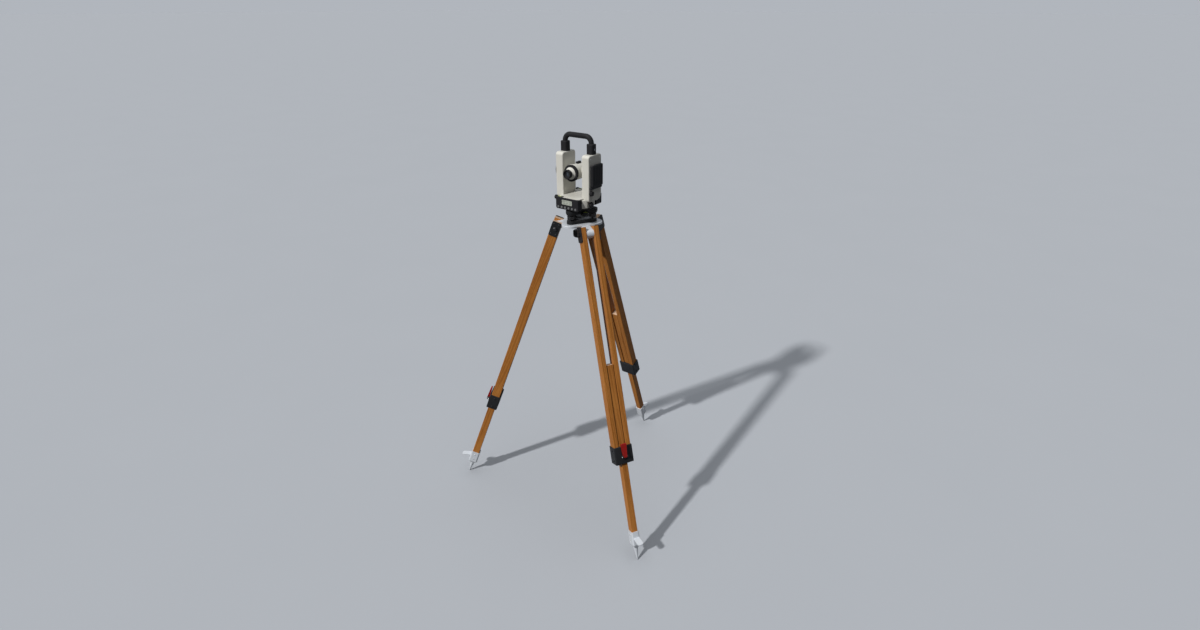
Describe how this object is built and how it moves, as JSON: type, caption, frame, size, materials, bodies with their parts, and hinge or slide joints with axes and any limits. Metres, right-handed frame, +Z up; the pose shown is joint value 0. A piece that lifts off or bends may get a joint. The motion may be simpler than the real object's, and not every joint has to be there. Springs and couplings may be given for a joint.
{
  "type": "electronic theodolite on tripod",
  "caption": "Surveying theodolite with a tilting telescope between two standards, displays, keys and a carrying handle, on a levelling tribrach and a wooden tripod with sliding legs.",
  "frame": {"origin": "on the ground, straight under the vertical axis, midway between the three points", "axes": "+X along the trunnion axis to the right of an observer at the eyepiece, +Y the way the telescope looks, +Z up"},
  "size_m": [1.0004, 0.8687, 1.594],
  "materials": {
    "ivory_housing": "fine-grained ivory coat",
    "black_plastic": "satin black moulding",
    "black_casting": "black coated casting",
    "black_plate": "black painted sheet steel",
    "silver_casting": "silver coated casting",
    "steel": "turned steel",
    "dark_steel": "blackened steel",
    "foot_screw_black": "black anodised, fluted",
    "wood": "oiled hardwood with straight grain",
    "lever_red": "red enamel",
    "display_glass": "grey-green liquid crystal pane",
    "key_grey": "soft grey key",
    "optical_glass": "coated lens glass",
    "circle_glass": "engraved glass circle"
  },
  "bodies": {
    "head": {"tripod_head": "silver_casting", "hinge_bolts": "dark_steel"},
    "leg_left": {"leg_bars_left": "wood", "hinge_plates_left": "black_plate", "leg_clamp_left": "black_casting"},
    "slat_left": {"leg_slat_left": "wood", "foot_shoe_left": "silver_casting"},
    "lever_left": {"clamp_lever_left": "lever_red"},
    "leg_right": {"leg_bars_right": "wood", "hinge_plates_right": "black_plate", "leg_clamp_right": "black_casting"},
    "slat_right": {"leg_slat_right": "wood", "foot_shoe_right": "silver_casting"},
    "lever_right": {"clamp_lever_right": "lever_red"},
    "leg_back": {"leg_bars_back": "wood", "hinge_plates_back": "black_plate", "leg_clamp_back": "black_casting"},
    "slat_back": {"leg_slat_back": "wood", "foot_shoe_back": "silver_casting"},
    "lever_back": {"clamp_lever_back": "lever_red"},
    "fixing_arm": {"fixing_arm": "black_casting"},
    "tribrach_base": {"tribrach_base_plate": "black_casting"},
    "fixing_screw": {"fixing_screw": "steel", "fixing_knob": "black_plastic"},
    "tribrach": {"tribrach_body": "black_casting", "circular_level": "black_casting", "lower_housing": "black_casting", "horizontal_circle": "circle_glass"},
    "foot_screw_right": {"foot_screw_right": "foot_screw_black"},
    "foot_screw_left": {"foot_screw_left": "foot_screw_black"},
    "foot_screw_front": {"foot_screw_front": "foot_screw_black"},
    "lock_knob": {"tribrach_lock_knob": "black_plastic"},
    "alidade": {"alidade_base": "ivory_housing", "vertical_spindle": "steel", "display_panel_front": "black_plastic", "display_panel_rear": "black_plastic", "display_windows": "display_glass", "plate_levels": "black_casting", "standard_left": "ivory_housing", "standard_right": "ivory_housing", "vertical_circle_cover": "black_plastic", "battery_pack": "black_plastic", "carrying_handle": "black_plastic"},
    "key_1": {"key_1": "key_grey"},
    "key_2": {"key_2": "key_grey"},
    "key_3": {"key_3": "key_grey"},
    "key_4": {"key_4": "key_grey"},
    "key_5": {"key_5": "key_grey"},
    "key_6": {"key_6": "key_grey"},
    "vertical_clamp": {"vertical_clamp_ring": "black_plastic"},
    "vertical_tangent": {"vertical_tangent_knob": "black_plastic"},
    "horizontal_clamp": {"horizontal_clamp_ring": "black_plastic"},
    "horizontal_tangent": {"horizontal_tangent_knob": "black_plastic"},
    "telescope": {"telescope_body": "ivory_housing", "objective_lens": "optical_glass", "telescope_sight": "black_plastic", "vertical_circle": "circle_glass"},
    "focus_ring": {"focus_ring": "black_plastic"},
    "focusing_lens": {"focusing_lens": "optical_glass"},
    "eyepiece": {"eyepiece": "black_plastic"}
  },
  "joints": [
    {"name": "leg_left_spread", "type": "hinge", "parent": "head", "child": "leg_left", "pos_m": [-0.07794, -0.045, 1.237], "axis": [-0.5, 0.866, 0], "range_deg": [-20.4, 20]},
    {"name": "leg_left_extend", "type": "slide", "parent": "leg_left", "child": "slat_left", "axis": [-0.3019, -0.1743, -0.9373], "range_m": [-0.285, 0.28]},
    {"name": "lever_left_open", "type": "hinge", "parent": "leg_left", "child": "lever_left", "pos_m": [-0.36611, -0.21138, 0.42826], "axis": [0.5, -0.866, 0], "range_deg": [0, 110]},
    {"name": "leg_right_spread", "type": "hinge", "parent": "head", "child": "leg_right", "pos_m": [0.07794, -0.045, 1.237], "axis": [-0.5, -0.866, 0], "range_deg": [-20.4, 20]},
    {"name": "leg_right_extend", "type": "slide", "parent": "leg_right", "child": "slat_right", "axis": [0.3019, -0.1743, -0.9373], "range_m": [-0.285, 0.28]},
    {"name": "lever_right_open", "type": "hinge", "parent": "leg_right", "child": "lever_right", "pos_m": [0.36611, -0.21138, 0.42826], "axis": [0.5, 0.866, 0], "range_deg": [0, 110]},
    {"name": "leg_back_spread", "type": "hinge", "parent": "head", "child": "leg_back", "pos_m": [0, 0.09, 1.237], "axis": [1, 0, 0], "range_deg": [-20.4, 20]},
    {"name": "leg_back_extend", "type": "slide", "parent": "leg_back", "child": "slat_back", "axis": [0, 0.3485, -0.9373], "range_m": [-0.285, 0.28]},
    {"name": "lever_back_open", "type": "hinge", "parent": "leg_back", "child": "lever_back", "pos_m": [0, 0.42275, 0.42826], "axis": [-1, 0, 0], "range_deg": [0, 110]},
    {"name": "fixing_arm_swing", "type": "hinge", "parent": "head", "child": "fixing_arm", "pos_m": [0.05716, 0.033, 1.2517], "axis": [0, 0, 1], "range_deg": [-12, 12]},
    {"name": "centring_slide", "type": "slide", "parent": "fixing_arm", "child": "tribrach_base", "axis": [0.866, 0.5, 0], "range_m": [-0.014, 0.014]},
    {"name": "fixing_screw_turn", "type": "hinge", "parent": "tribrach_base", "child": "fixing_screw", "pos_m": [0, 0, 1.22], "axis": [0, 0, 1], "continuous": true},
    {"name": "levelling_tilt", "type": "hinge", "parent": "tribrach_base", "child": "tribrach", "pos_m": [0, 0.0255, 1.2727], "axis": [1, 0, 0], "range_deg": [-1.5, 1.5]},
    {"name": "foot_screw_right_turn", "type": "hinge", "parent": "tribrach", "child": "foot_screw_right", "pos_m": [0.04417, 0.0255, 1.2727], "axis": [0, 0, 1], "range_deg": [-965, 965]},
    {"name": "foot_screw_left_turn", "type": "hinge", "parent": "tribrach", "child": "foot_screw_left", "pos_m": [-0.04417, 0.0255, 1.2727], "axis": [0, 0, 1], "range_deg": [-965, 965]},
    {"name": "foot_screw_front_turn", "type": "hinge", "parent": "tribrach_base", "child": "foot_screw_front", "pos_m": [0, -0.051, 1.2727], "axis": [0, 0, 1], "range_deg": [-965, 965]},
    {"name": "tribrach_lock_turn", "type": "hinge", "parent": "tribrach", "child": "lock_knob", "pos_m": [0, 0.05, 1.3082], "axis": [0, 1, 0], "range_deg": [0, 120]},
    {"name": "alidade_turn", "type": "hinge", "parent": "tribrach", "child": "alidade", "pos_m": [0, 0, 1.34], "axis": [0, 0, 1], "continuous": true},
    {"name": "key_1_press", "type": "slide", "parent": "alidade", "child": "key_1", "axis": [0, 1, 0], "range_m": [0, 0.0008], "stiffness_N_per_m": 150, "springref_m": -0.002},
    {"name": "key_2_press", "type": "slide", "parent": "alidade", "child": "key_2", "axis": [0, 1, 0], "range_m": [0, 0.0008], "stiffness_N_per_m": 150, "springref_m": -0.002},
    {"name": "key_3_press", "type": "slide", "parent": "alidade", "child": "key_3", "axis": [0, 1, 0], "range_m": [0, 0.0008], "stiffness_N_per_m": 150, "springref_m": -0.002},
    {"name": "key_4_press", "type": "slide", "parent": "alidade", "child": "key_4", "axis": [0, 1, 0], "range_m": [0, 0.0008], "stiffness_N_per_m": 150, "springref_m": -0.002},
    {"name": "key_5_press", "type": "slide", "parent": "alidade", "child": "key_5", "axis": [0, 1, 0], "range_m": [0, 0.0008], "stiffness_N_per_m": 150, "springref_m": -0.002},
    {"name": "key_6_press", "type": "slide", "parent": "alidade", "child": "key_6", "axis": [0, 1, 0], "range_m": [0, 0.0008], "stiffness_N_per_m": 150, "springref_m": -0.002},
    {"name": "vertical_clamp_turn", "type": "hinge", "parent": "alidade", "child": "vertical_clamp", "pos_m": [0.08, -0.03, 1.3868], "axis": [1, 0, 0], "range_deg": [0, 90]},
    {"name": "vertical_tangent_turn", "type": "hinge", "parent": "alidade", "child": "vertical_tangent", "pos_m": [0.08, -0.03, 1.3868], "axis": [1, 0, 0], "range_deg": [-1440, 1440]},
    {"name": "horizontal_clamp_turn", "type": "hinge", "parent": "alidade", "child": "horizontal_clamp", "pos_m": [0.069, -0.018, 1.3413], "axis": [1, 0, 0], "range_deg": [0, 90]},
    {"name": "horizontal_tangent_turn", "type": "hinge", "parent": "alidade", "child": "horizontal_tangent", "pos_m": [0.069, -0.018, 1.3413], "axis": [1, 0, 0], "range_deg": [-1440, 1440]},
    {"name": "telescope_turn", "type": "hinge", "parent": "alidade", "child": "telescope", "pos_m": [0, 0, 1.4543], "axis": [1, 0, 0], "continuous": true},
    {"name": "focus_ring_turn", "type": "hinge", "parent": "telescope", "child": "focus_ring", "pos_m": [0, -0.0445, 1.4543], "axis": [0, 1, 0], "range_deg": [-150, 150]},
    {"name": "focusing_lens_slide", "type": "slide", "parent": "telescope", "child": "focusing_lens", "axis": [0, 1, 0], "range_m": [-0.0081, 0.0081]},
    {"name": "eyepiece_turn", "type": "hinge", "parent": "telescope", "child": "eyepiece", "pos_m": [0, -0.064, 1.4543], "axis": [0, 1, 0], "range_deg": [-170, 170]}
  ],
  "couplings": [
    {"joint": "foot_screw_front_turn", "follows": "levelling_tilt", "ratio": 640.88},
    {"joint": "focusing_lens_slide", "follows": "focus_ring_turn", "m_per_rad": 0.0030558}
  ]
}
